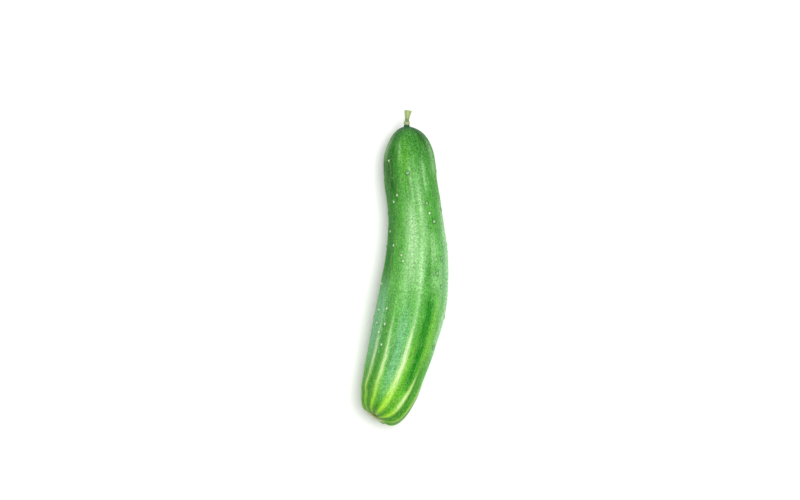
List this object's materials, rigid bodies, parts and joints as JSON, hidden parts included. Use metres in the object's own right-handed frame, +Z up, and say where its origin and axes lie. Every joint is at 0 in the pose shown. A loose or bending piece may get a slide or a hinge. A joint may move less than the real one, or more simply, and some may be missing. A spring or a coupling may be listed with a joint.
{
  "type": "cucumber",
  "caption": "Fresh green cucumber as picked, gently bowed, with low ribs, small warts, a blossom scar and a short cut stalk, lying on its side.",
  "frame": {"origin": "on the surface it lies on, under the middle of its box", "axes": "+Y from the blossom end to the stalk end, +Z up from the surface it lies on"},
  "size_m": [0.0612, 0.2206, 0.0483],
  "materials": {
    "skin": "waxy, satin",
    "stalk": "dull, ridged and finely hairy"
  },
  "bodies": {
    "root": {"fruit": "skin", "stalk": "stalk"}
  },
  "joints": []
}
